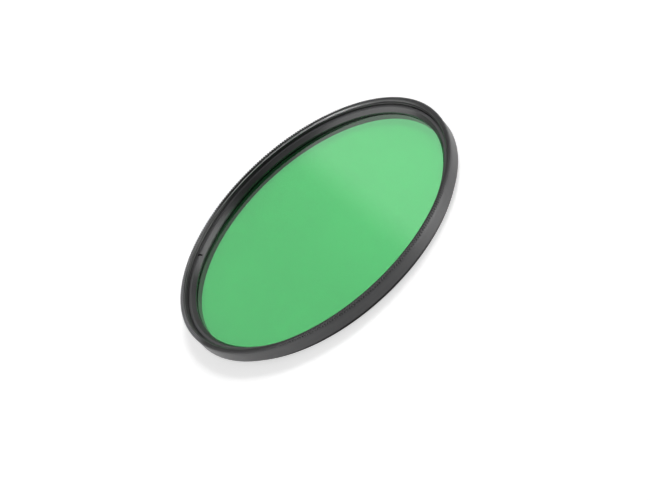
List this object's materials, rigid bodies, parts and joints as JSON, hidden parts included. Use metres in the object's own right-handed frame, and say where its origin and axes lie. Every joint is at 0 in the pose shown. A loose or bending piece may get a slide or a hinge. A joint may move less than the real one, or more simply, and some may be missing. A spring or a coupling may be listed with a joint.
{
  "type": "colour lens filter",
  "caption": "Round screw-in colour filter: a black turned ring with a threaded mouth and a threaded rear spigot holds a green glass disc under a slotted retaining ring.",
  "frame": {"origin": "middle of the rear end face, on the optical axis", "axes": "+Z along the optical axis, from the rear thread to the front face"},
  "size_m": [0.0794, 0.0794, 0.005],
  "materials": {
    "ring_black": "satin black anodised, turned",
    "retainer_black": "satin black anodised, turned",
    "green_glass": "polished, dyed green"
  },
  "bodies": {
    "root": {"filter_ring": "ring_black", "retaining_ring": "retainer_black", "glass_disc": "green_glass"}
  },
  "joints": []
}
